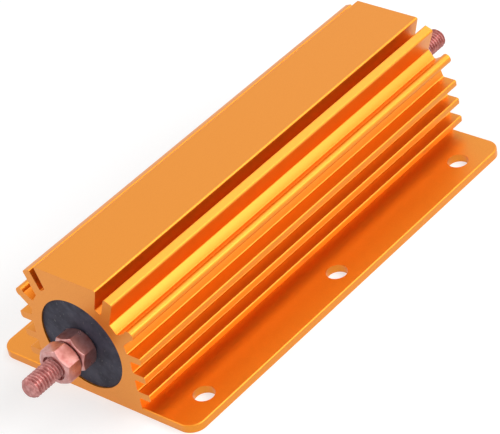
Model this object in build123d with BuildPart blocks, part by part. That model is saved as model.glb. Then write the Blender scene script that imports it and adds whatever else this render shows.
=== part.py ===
from build123d import *
import os
from math import cos, hypot, isclose, radians, sin, sqrt, tan

os.makedirs("parts", exist_ok=True)

# Wirewound resistor in a finned, gold anodised aluminium housing, in millimetres.
# The housing is one extrusion along X. Its base rests on z = 0, with the origin under its middle.
# A wound ceramic core lies in its round bore, cast in filler and closed by a seal at each end.

# Housing, overall
length = 137.9
base_width = 70.7
height = 39.0
base_t = 2.4
base_corner_r = 4.5

# Bore and the walls around it
bore_d = 28.0
bore_z = 17.15
barrel_wall = 3.5

# Mounting holes, a row along each side, placed by their distance from the base's edges
hole_d = 6.1
hole_from_end = 12.35
hole_from_side = 6.95
holes_per_side = 3

# Flat fins on each side, counted down from the top of the highest one
flat_fins = 3
flat_fins_top = 20.58
flat_fin_pitch = 6.18
flat_fin_t = 2.3
flat_fin_reach = 4.1

# Beaded fins, which lean up and out from the shoulders, placed from the bore's axis
bead_d = 2.9
bead_beyond_barrel = 4.53
bead_angle = 28.0

# Their necks widen towards the barrel, each side placed from the bead's middle
neck_top_lean = 30.0
neck_top_offset = 1.0
neck_under_lean = 42.0
neck_under_offset = 1.3

# Upright fins beside the top block, placed from its upper corner to the middle of their tips
upright_fin_t = 2.9
upright_fin_lean = 21.5
upright_tip_beside = 3.55
upright_tip_below = 2.43

# Top block, narrower at its foot
block_width = 22.2
block_lean = 17.5

# Small radii along the extrusion
edge_r = 0.4
block_edge_r = 0.5
upright_inner_r = 0.45
upright_outer_r = 0.7
fin_under_r = 0.8
root_r = 0.5

# End seals
seal_t = 5.0
seal_recess = 0.5

# Terminal studs, measured outwards and inwards from the housing's end faces
stud_d = 6.0
stud_free = 20.7
stud_tip_break = 1.0
shoulder_d = 9.0
shoulder_depth = 9.6

# Nuts, two on each stud
nut_flats = 10.0
nut_h = 5.6
nut_gap = 0.25
nut_face_inset = 0.35
nut_crown_angle = 35.0
inner_nut_turn = 16.0
outer_nut_turn = 18.5

# Wound core
core_d = 12.0
cap_wall = 1.0
cap_len = 9.0

# How near two points lie when they count as one
same_point = 0.001

# Worked out from the sizes above
hole_pitch_x = (length - 2 * hole_from_end) / (holes_per_side - 1)
hole_pitch_y = base_width - 2 * hole_from_side
barrel_r = bore_d / 2 + barrel_wall
mid_wall_r = bore_d / 2 + barrel_wall / 2
flat_fins_width = 2 * (barrel_r + flat_fin_reach)
bead_reach = barrel_r + bead_beyond_barrel
bead_y = bead_reach * cos(radians(bead_angle))
bead_z = bore_z + bead_reach * sin(radians(bead_angle))
upright_tip_y = block_width / 2 + upright_tip_beside
upright_tip_z = height - upright_tip_below
cap_d = core_d + 2 * cap_wall
caps_span = length - 2 * shoulder_depth
core_len = caps_span - 2 * cap_wall
winding_len = caps_span - 2 * cap_len
filler_len = length - 2 * (seal_recess + seal_t)

bore_plane = Plane(origin=(0, 0, bore_z), x_dir=(0, 1, 0), z_dir=(1, 0, 0))
ends = {"left": -1, "right": 1}


def end_plane(side):
    # On the bore's axis in one end face, facing out of the housing
    return Plane(origin=(side * length / 2, 0, bore_z), x_dir=(0, side, 0), z_dir=(side, 0, 0))


def save(part, name):
    part.label = name
    export_step(part, f"parts/{name}.step")


def top_block():
    # Its leaning sides run on down into the barrel's wall
    foot_z = bore_z + mid_wall_r * cos(radians(2 * block_lean))
    foot_half = block_width / 2 - (height - foot_z) * tan(radians(block_lean))
    Polygon(
        (block_width / 2, height),
        (-block_width / 2, height),
        (-foot_half, foot_z),
        (foot_half, foot_z),
        align=None,
    )


def upright_fin(side):
    # Runs from its tip down into the barrel's wall
    drop = upright_tip_z - bore_z - mid_wall_r * cos(radians(2 * upright_fin_lean))
    run = drop / cos(radians(upright_fin_lean))
    with Locations(Location((side * upright_tip_y, upright_tip_z), -side * upright_fin_lean)):
        Rectangle(upright_fin_t, run, align=(Align.CENTER, Align.MAX))


def neck_side(lean, offset):
    # One side of a bead's neck, from beside the bead's middle to inside the barrel's wall
    along = Vector(cos(radians(lean)), sin(radians(lean)))
    outer = Vector(bead_y, bead_z) + Vector(-along.Y, along.X) * offset
    return outer, outer - along * (bead_reach - mid_wall_r)


def bead_fin(side):
    # A neck from inside the wall, with a round bead along its tip
    top_outer, top_inner = neck_side(neck_top_lean, neck_top_offset)
    under_outer, under_inner = neck_side(neck_under_lean, -neck_under_offset)
    neck = (top_outer, top_inner, under_inner, under_outer)
    Polygon(*[(side * point.X, point.Y) for point in neck], align=None)
    with Locations((side * bead_y, bead_z)):
        Circle(bead_d / 2)


def fin_top(number):
    return flat_fins_top - number * flat_fin_pitch


def flat_fin_pair(number):
    with Locations((0, fin_top(number))):
        Rectangle(flat_fins_width, flat_fin_t, align=(Align.CENTER, Align.MAX))


def corners(sketch, y, z):
    # The sketch's corners at this height, on both sides of its middle
    return sketch.vertices().filter_by(lambda v: isclose(abs(v.X), y) and isclose(v.Y, z))


def barrel_roots(sketch):
    # The corners in which the block and the fins above the flat ones rise from the barrel
    def on_barrel(v):
        return isclose(hypot(v.X, v.Y - bore_z), barrel_r, abs_tol=same_point)

    return sketch.vertices().filter_by(lambda v: v.Y > fin_top(0) - flat_fin_t and on_barrel(v))


def round_edges(section):
    # Top block, upright fins and the roots on the barrel, then each flat fin
    tip_run = upright_fin_t / 2 * cos(radians(upright_fin_lean))
    tip_rise = upright_fin_t / 2 * sin(radians(upright_fin_lean))
    fillet(corners(section, block_width / 2, height), block_edge_r)
    fillet(corners(section, upright_tip_y - tip_run, upright_tip_z + tip_rise), upright_inner_r)
    fillet(corners(section, upright_tip_y + tip_run, upright_tip_z - tip_rise), upright_outer_r)
    fillet(barrel_roots(section), root_r)
    for number in range(flat_fins):
        fillet(corners(section, flat_fins_width / 2, fin_top(number)), edge_r)
        fillet(corners(section, flat_fins_width / 2, fin_top(number) - flat_fin_t), fin_under_r)
        fillet(corners(section, barrel_r, fin_top(number) - flat_fin_t), root_r)
        if number > 0:
            fillet(corners(section, barrel_r, fin_top(number)), root_r)


with BuildPart() as housing:
    # Base plate with rounded corners and a softened upper edge
    with BuildSketch():
        RectangleRounded(length, base_width, base_corner_r)
    extrude(amount=base_t)
    fillet(housing.faces().sort_by(Axis.Z)[-1].edges(), edge_r)

    # Finned section, cut off level with the underside of the base
    with BuildSketch(Plane.YZ) as section:
        Rectangle(2 * barrel_r, fin_top(0) - flat_fin_t / 2, align=(Align.CENTER, Align.MIN))
        with Locations((0, bore_z)):
            Circle(barrel_r)
        top_block()
        for side in ends.values():
            upright_fin(side)
            bead_fin(side)
        for number in range(flat_fins):
            flat_fin_pair(number)
        Rectangle(base_width, height, align=(Align.CENTER, Align.MIN), mode=Mode.INTERSECT)
        round_edges(section)
    extrude(amount=length / 2, both=True)

    # Bore for the wound core
    with BuildSketch(bore_plane):
        Circle(bore_d / 2)
    extrude(amount=length / 2, both=True, mode=Mode.SUBTRACT)

    # Mounting holes
    with BuildSketch():
        with GridLocations(hole_pitch_x, hole_pitch_y, holes_per_side, 2):
            Circle(hole_d / 2)
    extrude(amount=base_t, mode=Mode.SUBTRACT)

save(housing.part, "housing")

with BuildPart() as ceramic_core:
    with BuildSketch(bore_plane):
        Circle(core_d / 2)
    extrude(amount=core_len / 2, both=True)

save(ceramic_core.part, "ceramic_core")

# Close-wound wire as thick as the caps' walls, drawn as one sleeve on the core between them
with BuildPart() as resistance_winding:
    with BuildSketch(bore_plane):
        Circle(cap_d / 2)
        Circle(core_d / 2, mode=Mode.SUBTRACT)
    extrude(amount=winding_len / 2, both=True)

save(resistance_winding.part, "resistance_winding")

# Cast around the wound core, its caps and the buried stud shoulders
with BuildPart() as filler:
    with BuildSketch(bore_plane):
        Circle(bore_d / 2)
    extrude(amount=filler_len / 2, both=True)
    with BuildSketch(bore_plane):
        Circle(shoulder_d / 2)
    extrude(amount=filler_len / 2, both=True, mode=Mode.SUBTRACT)
    with BuildSketch(bore_plane):
        Circle(cap_d / 2)
    extrude(amount=caps_span / 2, both=True, mode=Mode.SUBTRACT)

save(filler.part, "filler")


def build_cap(face):
    # A cup pressed over the core's end, with its floor towards the stud
    with BuildPart() as cap:
        with BuildSketch(face.offset(-shoulder_depth)):
            Circle(cap_d / 2)
        extrude(amount=-cap_len)
        with BuildSketch(face.offset(-shoulder_depth - cap_wall)):
            Circle(core_d / 2)
        extrude(amount=-cap_len, mode=Mode.SUBTRACT)
    return cap.part


def build_seal(face):
    with BuildPart() as seal:
        with BuildSketch(face.offset(-seal_recess)):
            Circle(bore_d / 2)
            Circle(shoulder_d / 2, mode=Mode.SUBTRACT)
        extrude(amount=-seal_t)
    return seal.part


def build_stud(face):
    # A shoulder welded to the cap, passing through the filler and the seal to end flush with it
    with BuildPart() as stud:
        with BuildSketch(face.offset(-shoulder_depth)):
            Circle(shoulder_d / 2)
        extrude(amount=shoulder_depth - seal_recess)
        with BuildSketch(face.offset(-seal_recess)):
            Circle(stud_d / 2)
        extrude(amount=seal_recess + stud_free)
        tip = stud.faces().sort_by(Axis(face.origin, face.z_dir))[-1]
        chamfer(tip.edges(), stud_tip_break)
    return stud.part


def build_nut(seat, turn):
    # A turned ring with coned faces, cut to a hexagon
    stud_r = stud_d / 2
    face_r = nut_flats / 2 - nut_face_inset
    corner_r = nut_flats / sqrt(3)
    crown = (corner_r - face_r) * tan(radians(nut_crown_angle))
    with BuildPart() as nut:
        with BuildSketch(Plane(origin=seat.origin, x_dir=seat.x_dir, z_dir=-seat.y_dir)):
            with BuildLine():
                Polyline(
                    (stud_r, 0),
                    (face_r, 0),
                    (corner_r, crown),
                    (corner_r, nut_h - crown),
                    (face_r, nut_h),
                    (stud_r, nut_h),
                    close=True,
                )
            make_face()
        revolve(axis=Axis(seat.origin, seat.z_dir))
        with BuildSketch(seat):
            RegularPolygon(nut_flats / 2, side_count=6, major_radius=False, rotation=turn)
        extrude(amount=nut_h, mode=Mode.INTERSECT)
    return nut.part


for end, side in ends.items():
    face = end_plane(side)
    inner_seat = face.offset(-seal_recess)
    outer_seat = inner_seat.offset(nut_h + nut_gap)
    save(build_cap(face), f"core_cap_{end}")
    save(build_seal(face), f"end_seal_{end}")
    save(build_stud(face), f"terminal_stud_{end}")
    save(build_nut(inner_seat, inner_nut_turn), f"inner_nut_{end}")
    save(build_nut(outer_seat, outer_nut_turn), f"outer_nut_{end}")
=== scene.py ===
import math

import bmesh
import bpy
from mathutils import Matrix, Vector


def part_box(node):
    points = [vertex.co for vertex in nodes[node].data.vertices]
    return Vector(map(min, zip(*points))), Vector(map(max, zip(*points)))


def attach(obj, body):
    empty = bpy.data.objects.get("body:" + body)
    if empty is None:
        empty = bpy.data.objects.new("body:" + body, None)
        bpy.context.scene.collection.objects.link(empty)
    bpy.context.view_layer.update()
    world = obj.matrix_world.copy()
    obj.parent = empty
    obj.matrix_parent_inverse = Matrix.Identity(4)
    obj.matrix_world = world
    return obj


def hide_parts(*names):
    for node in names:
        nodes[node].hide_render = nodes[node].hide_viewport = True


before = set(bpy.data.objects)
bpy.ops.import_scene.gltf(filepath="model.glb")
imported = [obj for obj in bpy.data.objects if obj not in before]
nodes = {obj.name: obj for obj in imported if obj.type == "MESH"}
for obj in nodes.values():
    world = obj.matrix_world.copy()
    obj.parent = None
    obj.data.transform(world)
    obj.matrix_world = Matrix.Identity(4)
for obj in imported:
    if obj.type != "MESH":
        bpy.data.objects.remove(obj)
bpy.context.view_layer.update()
mm = 0.001
print("frame loaded")

# Camera, at the photograph's angle and distance
camera = {
    "place": (-386.14, -411.23, 417.30),  # mm
    "turn": (53.648, 9.949, -50.396),  # degrees
    "lens": 180.91,  # mm on a 36 mm wide sensor
}

# Paper floor and a white studio: a wide key box on the right, a high one beyond it, a weak one
# overhead and one on the left for the sawn end
studio = {
    "glow": 0.4,  # what the surroundings give to the object
    "paper": (0.5, 0.5, 0.5),
    "paperLift": 0.6,  # added only where the paper is seen or mirrored
    "paperHalf": 4000,  # mm, half the floor's side
    "paperBelow": 0.01,  # mm, so that it stays clear of the flat underside
    "boxes": {  # place and size in mm
        "keyBox": {"place": (240, -730, 560), "size": (900, 440), "strength": 4.3},
        "highBox": {"place": (500, -110, 800), "size": (440, 440), "strength": 2.4},
        "topBox": {"place": (165, 0, 935), "size": (440, 440), "strength": 0.7},
        "leftBox": {"place": (-580, 450, 580), "size": (440, 440), "strength": 2.0},
    },
}


def addCamera(setting):
    data = bpy.data.cameras.new("photoCamera")
    data.sensor_fit = "HORIZONTAL"
    data.sensor_width = 36
    data.lens = setting["lens"]
    data.clip_start = 0.01
    eye = bpy.data.objects.new("photoCamera", data)
    bpy.context.collection.objects.link(eye)
    eye.location = Vector(setting["place"]) * mm
    eye.rotation_euler = [math.radians(angle) for angle in setting["turn"]]
    bpy.context.scene.camera = eye


def addSoftbox(name, setting):
    data = bpy.data.lights.new(name, "AREA")
    data.shape = "RECTANGLE"
    data.size, data.size_y = (side * mm for side in setting["size"])
    data.energy = setting["strength"] * math.pi * data.size * data.size_y  # strength 1 is white
    box = bpy.data.objects.new(name, data)
    bpy.context.collection.objects.link(box)
    box.location = Vector(setting["place"]) * mm
    box.rotation_euler = box.location.to_track_quat("Z", "Y").to_euler()


def seenDirectly(tree):
    # 1 for what the camera, a reflection or glass sees, 0 for light that falls on things
    path = tree.nodes.new("ShaderNodeLightPath")
    seen = path.outputs["Is Camera Ray"]
    for way in ("Is Glossy Ray", "Is Transmission Ray"):
        either = tree.nodes.new("ShaderNodeMath")
        either.operation = "MAXIMUM"
        tree.links.new(seen, either.inputs[0])
        tree.links.new(path.outputs[way], either.inputs[1])
        seen = either.outputs[0]
    return seen


def addSurroundings(setting):
    world = bpy.data.worlds.new("studio")
    bpy.context.scene.world = world
    world.use_nodes = True
    tree = world.node_tree
    tree.nodes.clear()
    glow = tree.nodes.new("ShaderNodeBackground")
    glow.inputs["Color"].default_value = (1, 1, 1, 1)
    glow.inputs["Strength"].default_value = setting["glow"]
    white = tree.nodes.new("ShaderNodeBackground")
    white.inputs["Color"].default_value = (1, 1, 1, 1)
    white.inputs["Strength"].default_value = 1
    mix = tree.nodes.new("ShaderNodeMixShader")
    out = tree.nodes.new("ShaderNodeOutputWorld")
    tree.links.new(seenDirectly(tree), mix.inputs["Fac"])
    tree.links.new(glow.outputs[0], mix.inputs[1])
    tree.links.new(white.outputs[0], mix.inputs[2])
    tree.links.new(mix.outputs[0], out.inputs["Surface"])


def addFloor(setting):
    material = bpy.data.materials.new("floorPaper")
    material.use_nodes = True
    tree = material.node_tree
    tree.nodes.clear()
    paper = tree.nodes.new("ShaderNodeBsdfDiffuse")
    paper.inputs["Color"].default_value = (*setting["paper"], 1)
    gain = tree.nodes.new("ShaderNodeMath")
    gain.operation = "MULTIPLY"
    gain.inputs[1].default_value = setting["paperLift"]
    lift = tree.nodes.new("ShaderNodeEmission")
    add = tree.nodes.new("ShaderNodeAddShader")
    below = tree.nodes.new("ShaderNodeNewGeometry").outputs["Backfacing"]  # clear from underneath
    mix = tree.nodes.new("ShaderNodeMixShader")
    out = tree.nodes.new("ShaderNodeOutputMaterial")
    tree.links.new(seenDirectly(tree), gain.inputs[0])
    tree.links.new(gain.outputs[0], lift.inputs["Strength"])
    tree.links.new(paper.outputs[0], add.inputs[0])
    tree.links.new(lift.outputs[0], add.inputs[1])
    tree.links.new(below, mix.inputs["Fac"])
    tree.links.new(add.outputs[0], mix.inputs[1])
    tree.links.new(tree.nodes.new("ShaderNodeBsdfTransparent").outputs[0], mix.inputs[2])
    tree.links.new(mix.outputs[0], out.inputs["Surface"])
    bm = bmesh.new()
    bmesh.ops.create_grid(bm, x_segments=1, y_segments=1, size=setting["paperHalf"] * mm)
    mesh = bpy.data.meshes.new("floor")
    bm.to_mesh(mesh)
    bm.free()
    mesh.materials.append(material)
    floor = bpy.data.objects.new("floor", mesh)
    floor.location.z = -setting["paperBelow"] * mm
    bpy.context.collection.objects.link(floor)


bpy.context.scene.view_settings.view_transform = "Standard"
addCamera(camera)
addSurroundings(studio)
addFloor(studio)
for name, setting in studio["boxes"].items():
    addSoftbox(name, setting)
print("camera, floor and lights in place")


class Finish:
    # A material, with short calls for the nodes that feed its shader

    def __init__(self, name, metallic):
        self.material = bpy.data.materials.new(name)
        self.material.use_nodes = True
        self.tree = self.material.node_tree
        self.tree.nodes.clear()
        self.shader = self.tree.nodes.new("ShaderNodeBsdfPrincipled")
        self.shader.inputs["Metallic"].default_value = metallic
        self.place = self.tree.nodes.new("ShaderNodeTexCoord").outputs["Object"]
        out = self.tree.nodes.new("ShaderNodeOutputMaterial")
        self.link(self.shader.outputs[0], out.inputs["Surface"])

    def link(self, source, target):
        self.tree.links.new(source, target)

    def noise(self, scale, stretch=(1, 1, 1), detail=2):
        spread = self.tree.nodes.new("ShaderNodeMapping")
        spread.inputs["Scale"].default_value = stretch
        grain = self.tree.nodes.new("ShaderNodeTexNoise")
        grain.inputs["Scale"].default_value = scale
        grain.inputs["Detail"].default_value = detail
        self.link(self.place, spread.inputs["Vector"])
        self.link(spread.outputs[0], grain.inputs["Vector"])
        return grain.outputs["Fac"]

    def span(self, source, low, high, fromLow=0.3, fromHigh=0.7):
        reach = self.tree.nodes.new("ShaderNodeMapRange")
        reach.inputs["From Min"].default_value = fromLow
        reach.inputs["From Max"].default_value = fromHigh
        reach.inputs["To Min"].default_value = low
        reach.inputs["To Max"].default_value = high
        self.link(source, reach.inputs["Value"])
        return reach.outputs[0]

    def blend(self, factor, first, second):
        mix = self.tree.nodes.new("ShaderNodeMix")
        mix.data_type = "RGBA"
        for name, colour in (("A", first), ("B", second)):
            if isinstance(colour, tuple):
                mix.inputs[name].default_value = (*colour, 1)
            else:
                self.link(colour, mix.inputs[name])
        self.link(factor, mix.inputs["Factor"])
        return mix.outputs["Result"]

    def bump(self, height, depth, under=None):
        press = self.tree.nodes.new("ShaderNodeBump")
        press.inputs["Distance"].default_value = depth
        self.link(height, press.inputs["Height"])
        if under is not None:
            self.link(under, press.inputs["Normal"])
        return press.outputs[0]

    def set(self, name, value):
        self.shader.inputs[name].default_value = value

    def feed(self, name, source):
        self.link(source, self.shader.inputs[name])


goldFinish = {
    "pale": (0.80, 0.285, 0.015),
    "deep": (0.76, 0.262, 0.013),
    "roughness": (0.40, 0.48),
    "coat": 0.45,
    "coatRoughness": 0.3,
    "grain": 5200,
    "grainDepth": 0.000006,
    "drawLines": (6, 1400, 1400),  # long along the extrusion, fine across it
    "drawDepth": 0.0000005,
}


def makeGold(setting):
    gold = Finish("goldAnodised", 1)
    grain = gold.noise(setting["grain"])
    lines = gold.noise(1, stretch=setting["drawLines"], detail=3)
    gold.feed("Base Color", gold.blend(gold.span(grain, 0, 1), setting["pale"], setting["deep"]))
    gold.feed("Roughness", gold.span(grain, *setting["roughness"]))
    gold.set("Coat Weight", setting["coat"])
    gold.set("Coat Roughness", setting["coatRoughness"])
    drawn = gold.bump(lines, setting["drawDepth"])
    gold.feed("Normal", gold.bump(grain, setting["grainDepth"], drawn))
    return gold.material


copperFinish = {
    "metallic": 0.8,  # a thin dull film keeps the plating from being a pure mirror
    "pale": (0.68, 0.35, 0.325),
    "deep": (0.46, 0.155, 0.14),
    "roughness": (0.27, 0.36),
    "coat": 0.6,
    "coatRoughness": 0.15,
    "cloud": 450,
    "grain": 4200,
    "grainDepth": 0.0000015,
}
threadFinish = {  # the rolled thread is duller than the nuts
    "metallic": 0.75,
    "pale": (0.66, 0.31, 0.29),
    "deep": (0.38, 0.13, 0.12),
    "roughness": (0.42, 0.55),
    "cloud": 700,
    "grain": 4200,
    "grainDepth": 0.000003,
}


def makeCopper(name, setting):
    copper = Finish(name, setting["metallic"])
    cloud = copper.noise(setting["cloud"], detail=2)
    grain = copper.noise(setting["grain"])
    copper.feed("Base Color", copper.blend(copper.span(cloud, 0, 1), setting["pale"], setting["deep"]))
    copper.feed("Roughness", copper.span(cloud, *setting["roughness"]))
    if "coat" in setting:
        copper.set("Coat Weight", setting["coat"])
        copper.set("Coat Roughness", setting["coatRoughness"])
    copper.feed("Normal", copper.bump(grain, setting["grainDepth"]))
    return copper.material


sealFinish = {
    "pale": (0.052, 0.053, 0.086),
    # the darker colour is painted shade, mixed in at random patches by the cloud to stand in for the
    # shade round the nuts
    "paintedShade": (0.026, 0.026, 0.043),
    "speck": (0.12, 0.12, 0.13),
    "roughness": (0.60, 0.80),
    "grain": 2600,
    "grainDepth": 0.00003,
    "cloud": 300,
    "specks": 1500,
    "speckShare": (0.75, 0.83),  # the part of the noise that counts as a speck
}


def makeSeal(setting):
    seal = Finish("sealRubber", 0)
    specks = seal.span(seal.noise(setting["specks"], detail=0), 0, 1, *setting["speckShare"])
    cloud = seal.noise(setting["cloud"], detail=3)
    grain = seal.noise(setting["grain"], detail=3)
    # painted shade: the cloud darkens the rubber's colour in patches over the whole face
    rubberAndShade = seal.blend(seal.span(cloud, 0, 1), setting["pale"], setting["paintedShade"])
    seal.feed("Base Color", seal.blend(specks, rubberAndShade, setting["speck"]))
    seal.feed("Roughness", seal.span(cloud, *setting["roughness"]))
    seal.feed("Normal", seal.bump(grain, setting["grainDepth"]))
    return seal.material


hiddenFinishes = {
    "ceramicBody": {"colour": (0.80, 0.78, 0.72), "metallic": 0, "roughness": 0.7, "grain": 1800},
    "windingWire": {"colour": (0.42, 0.40, 0.38), "metallic": 1, "roughness": 0.35, "grain": 900},
    "capSteel": {"colour": (0.60, 0.60, 0.60), "metallic": 1, "roughness": 0.3, "grain": 2400},
    "fillerCement": {"colour": (0.45, 0.45, 0.43), "metallic": 0, "roughness": 0.9, "grain": 1200},
}


hiddenGrain = {
    "darkest": 0.8,  # share of the colour
    "smoothest": 0.9,  # share of the roughness
    "depth": 0.01,  # mm
}


def makeHidden(name, setting):
    plain = Finish(name, setting["metallic"])
    grain = plain.noise(setting["grain"], detail=3)
    darker = tuple(hiddenGrain["darkest"] * part for part in setting["colour"])
    smoother = hiddenGrain["smoothest"] * setting["roughness"]
    plain.feed("Base Color", plain.blend(plain.span(grain, 0, 1), setting["colour"], darker))
    plain.feed("Roughness", plain.span(grain, smoother, setting["roughness"]))
    plain.feed("Normal", plain.bump(grain, hiddenGrain["depth"] * mm))
    return plain.material


gold = makeGold(goldFinish)
copper = makeCopper("copperPlate", copperFinish)
threadCopper = makeCopper("copperThread", threadFinish)
sealRubber = makeSeal(sealFinish)
hidden = {name: makeHidden(name, setting) for name, setting in hiddenFinishes.items()}
print("finishes made")


def addPiece(name, bm, material, node):
    # Shaded smooth, standing in for one node of the frame
    for face in bm.faces:
        face.smooth = True
    mesh = bpy.data.meshes.new(name)
    bm.to_mesh(mesh)
    bm.free()
    mesh.materials.append(material)
    piece = bpy.data.objects.new(name, mesh)
    bpy.context.collection.objects.link(piece)
    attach(piece, "root")
    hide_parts(node)
    return piece


def middle(node):
    low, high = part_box(node)
    return (low + high) / 2


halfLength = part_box("housing")[1].x
boreHeight = middle("terminal_stud_left").z


def outOf(side):
    # From a shape drawn round the Z axis to one end of the housing, with Z pointing out of it
    turn = Matrix(((0, 0, side), (side, 0, 0), (0, 1, 0))).to_4x4()
    return Matrix.Translation((side * halfLength, 0, boreHeight)) @ turn


def lathe(bm, profile, place, around):
    # Turns a closed profile of (radius, height) points in mm round the Z axis
    rings = []
    for i in range(around):
        angle = math.tau * i / around
        spoke = Vector((math.cos(angle), math.sin(angle), 0))
        rings.append([bm.verts.new(place @ ((spoke * r + Vector((0, 0, z))) * mm)) for r, z in profile])
    joinRings(bm, rings)


def joinRings(bm, rings):
    # Faces between neighbouring closed rings, and from the last ring back to the first
    for ring, following in zip(rings, rings[1:] + rings[:1]):
        for j in range(len(ring)):
            k = (j + 1) % len(ring)
            bm.faces.new((ring[j], following[j], following[k], ring[k]))


housingShape = {
    "endBreak": 0.45,  # mm, asked for at the sawn ends; short edges clamp it to under 0.001
    "baseBreak": 0.15,  # mm, asked for on the base's top and at its holes; clamped to about 0.004
    "breakSteps": 2,
    "sharpFrom": 50,  # degrees between faces from which an edge counts as one
    "flatWithin": 0.05,  # degrees, for joining the frame's triangles into whole faces
    "baseFrom": 30,  # mm from the middle, where there is nothing but the base
    "near": 0.001,  # mm, how near two points count as level
}


def sharpEdges(bm, shape):
    # The edges between faces at a marked angle, each with the heights and ends that it reaches
    for edge in bm.edges:
        if len(edge.link_faces) == 2 and edge.calc_face_angle(0) > math.radians(shape["sharpFrom"]):
            ends = [vert.co for vert in edge.verts]
            atEnd = all(abs(abs(end.x) - halfLength) < shape["near"] * mm for end in ends)
            yield edge, max(end.z for end in ends), atEnd


def breakEdges(bm, edges, width, steps):
    bmesh.ops.bevel(
        bm,
        geom=edges,
        offset=width * mm,
        offset_type="OFFSET",
        segments=steps,
        profile=0.5,
        affect="EDGES",
        clamp_overlap=True,
    )


def makeHousing(shape):
    # The extrusion as the frame has it; the clamp leaves hardly any of the softening asked for
    bm = bmesh.new()
    bm.from_mesh(nodes["housing"].data)
    bmesh.ops.remove_doubles(bm, verts=bm.verts, dist=shape["near"] * mm / 10)
    flat = math.radians(shape["flatWithin"])
    bmesh.ops.dissolve_limit(bm, angle_limit=flat, verts=bm.verts, edges=bm.edges)
    inBase = [vert.co.z for vert in bm.verts if abs(vert.co.y) > shape["baseFrom"] * mm]
    baseTop = max(inBase) + shape["near"] * mm
    onBase = [edge for edge, top, atEnd in sharpEdges(bm, shape) if baseTop / 2 < top < baseTop]
    breakEdges(bm, onBase, shape["baseBreak"], shape["breakSteps"])
    sawn = [edge for edge, top, atEnd in sharpEdges(bm, shape) if atEnd and top > baseTop]
    breakEdges(bm, sawn, shape["endBreak"], shape["breakSteps"])
    piece = addPiece("finnedHousing", bm, gold, "housing")
    piece.data.set_sharp_from_angle(angle=math.radians(shape["sharpFrom"]))
    even = piece.modifiers.new("evenShading", "WEIGHTED_NORMAL")
    even.keep_sharp = True
    even.weight = 100
    print("housing made, edges broken:", len(onBase) + len(sawn))


studShape = {
    "radius": 3.0,  # mm, as all below
    "tip": 20.7,  # out of the housing's end face
    "tipBreak": 1.0,
    "pitch": 1.0,
    "threadDepth": 0.55,
    "crestHalf": 0.08,  # turns from a crest's middle to its edge
    "rootFrom": 0.43,  # turns from a crest's middle to the root
    "collarRadius": 4.5,
    "collarHole": 0.5,  # its radius; nothing shows it
    "collarOut": -0.5,
    "collarIn": -9.6,
    "sharpFrom": 30,  # degrees
    "around": 72,
    "perTurn": 14,
}


def threadRadius(shape, turns):
    # Crests at whole turns, with a flat crest and a narrower root
    away = abs((turns + 0.5) % 1 - 0.5)
    flank = (away - shape["crestHalf"]) / (shape["rootFrom"] - shape["crestHalf"])
    return shape["radius"] - shape["threadDepth"] * min(max(flank, 0), 1)


def ringOf(bm, place, radii, height):
    # A ring round the Z axis with its own radius at each of its points, in mm
    ring = []
    for i, radius in enumerate(radii):
        angle = math.tau * i / len(radii)
        point = Vector((math.cos(angle) * radius, math.sin(angle) * radius, height))
        ring.append(bm.verts.new(place @ (point * mm)))
    return ring


def makeStud(end, side, shape):
    # The thread up to its tip, and behind it the collar as a closed ring of its own
    bm = bmesh.new()
    place = outOf(side)
    around, start = shape["around"], shape["collarOut"]
    span = shape["tip"] - start
    steps = int(span / shape["pitch"] * shape["perTurn"])
    rings = []
    for j in range(steps + 1):
        z = start + span * j / steps
        taper = shape["radius"] - shape["tipBreak"] + shape["tip"] - z
        turns = (z - start) / shape["pitch"]
        radii = [min(threadRadius(shape, turns - i / around), taper) for i in range(around)]
        rings.append(ringOf(bm, place, radii, z))
    for ring, following in zip(rings, rings[1:]):
        for i in range(around):
            k = (i + 1) % around
            bm.faces.new((ring[i], ring[k], following[k], following[i]))
    bm.faces.new(rings[-1])
    bm.faces.new(reversed(rings[0]))
    hole, collar, back = shape["collarHole"], shape["collarRadius"], shape["collarIn"]
    lathe(bm, ((hole, start), (collar, start), (collar, back), (hole, back)), place, around)
    bmesh.ops.recalc_face_normals(bm, faces=bm.faces)
    piece = addPiece(f"threadedStud_{end}", bm, threadCopper, f"terminal_stud_{end}")
    piece.data.set_sharp_from_angle(angle=math.radians(shape["sharpFrom"]))


nutShape = {
    "flats": 10.0,  # mm, as all below but the angles
    "height": 5.6,
    "faceRadius": 4.65,
    "crownAngle": 35,
    "mouthRadius": 3.7,
    "mouthFloor": 3.3,  # where the mouth ends, at its depth
    "mouthDepth": 1.3,
    "boreRadius": 2.8,
    "edgeRound": 0.2,
    "roundSteps": 3,
    "roundFrom": 25,  # degrees between faces
    "flatWithin": 0.5,  # degrees, for joining the faces of each flat
    "around": 144,
    "turns": {"inner": 16, "outer": 18.5},
    "seats": {"inner": -0.5, "outer": 5.35},
}


def hexRadius(shape, angle):
    # From the middle to the side of the hexagon, with a corner at angle 0
    return shape["flats"] / 2 / math.cos(angle % (math.pi / 3) - math.pi / 6)


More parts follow.
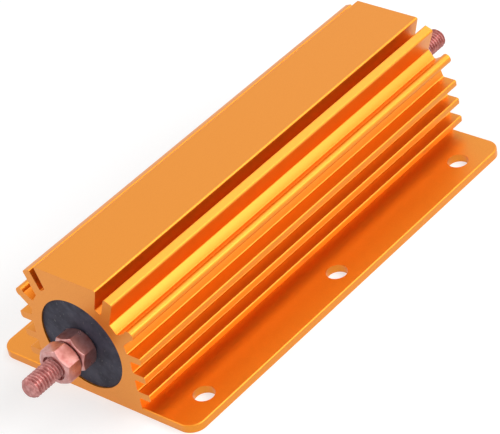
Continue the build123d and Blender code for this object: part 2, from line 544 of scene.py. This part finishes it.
def makeNut(which, end, side, shape):
    bm = bmesh.new()
    place = outOf(side) @ Matrix.Rotation(math.radians(shape["turns"][which]), 4, "Z")
    seat = shape["seats"][which]
    height, deep = shape["height"], shape["mouthDepth"]
    face, mouth = shape["faceRadius"], shape["mouthRadius"]
    mouthFloor, bore = shape["mouthFloor"], shape["boreRadius"]
    slope = math.tan(math.radians(shape["crownAngle"]))
    rings = []
    for i in range(shape["around"]):
        angle = math.tau * i / shape["around"]
        outer = hexRadius(shape, angle)
        crown = (outer - face) * slope
        profile = (
            (mouth, 0),
            (face, 0),
            (outer, crown),
            (outer, height - crown),
            (face, height),
            (mouth, height),
            (mouthFloor, height - deep),
            (bore, height - deep),
            (bore, deep),
            (mouthFloor, deep),
        )
        spoke = Vector((math.cos(angle), math.sin(angle), 0))
        points = [(spoke * r + Vector((0, 0, seat + z))) * mm for r, z in profile]
        rings.append([bm.verts.new(place @ point) for point in points])
    joinRings(bm, rings)
    bmesh.ops.recalc_face_normals(bm, faces=bm.faces)
    flat = math.radians(shape["flatWithin"])
    bmesh.ops.dissolve_limit(bm, angle_limit=flat, verts=bm.verts, edges=bm.edges)
    piece = addPiece(f"{which}Nut_{end}", bm, copper, f"{which}_nut_{end}")
    soften = piece.modifiers.new("softEdges", "BEVEL")
    soften.width = shape["edgeRound"] * mm
    soften.segments = shape["roundSteps"]
    soften.limit_method = "ANGLE"
    soften.angle_limit = math.radians(shape["roundFrom"])
    soften.harden_normals = True


sealShape = {
    "radius": 14.0,  # mm, as all below
    "holeRadius": 4.5,
    "recess": 0.5,
    "thickness": 5.0,
    "dish": 0.1,  # how far the face sinks halfway between collar and rim
    "steps": 32,
    "around": 128,
    "sharpFrom": 40,  # degrees
}


def makeSealDisc(end, side, shape):
    bm = bmesh.new()
    face = -shape["recess"]
    back = face - shape["thickness"]
    profile = [(shape["holeRadius"], back)]
    for k in range(shape["steps"] + 1):
        part = k / shape["steps"]
        radius = shape["holeRadius"] + (shape["radius"] - shape["holeRadius"]) * part
        profile.append((radius, face - shape["dish"] * math.sin(math.pi * part)))
    profile.append((shape["radius"], back))
    lathe(bm, profile, outOf(side), shape["around"])
    bmesh.ops.recalc_face_normals(bm, faces=bm.faces)
    piece = addPiece(f"sealDisc_{end}", bm, sealRubber, f"end_seal_{end}")
    piece.data.set_sharp_from_angle(angle=math.radians(shape["sharpFrom"]))


makeHousing(housingShape)
for end, side in (("left", -1), ("right", 1)):
    makeStud(end, side, studShape)
    makeNut("inner", end, side, nutShape)
    makeNut("outer", end, side, nutShape)
    makeSealDisc(end, side, sealShape)
    print("terminal made:", end)


def repaint(node, material):
    nodes[node].material_slots[0].material = material


repaint("ceramic_core", hidden["ceramicBody"])
repaint("resistance_winding", hidden["windingWire"])
repaint("filler", hidden["fillerCement"])
for end in ("left", "right"):
    repaint(f"core_cap_{end}", hidden["capSteel"])
print("hidden pieces painted")
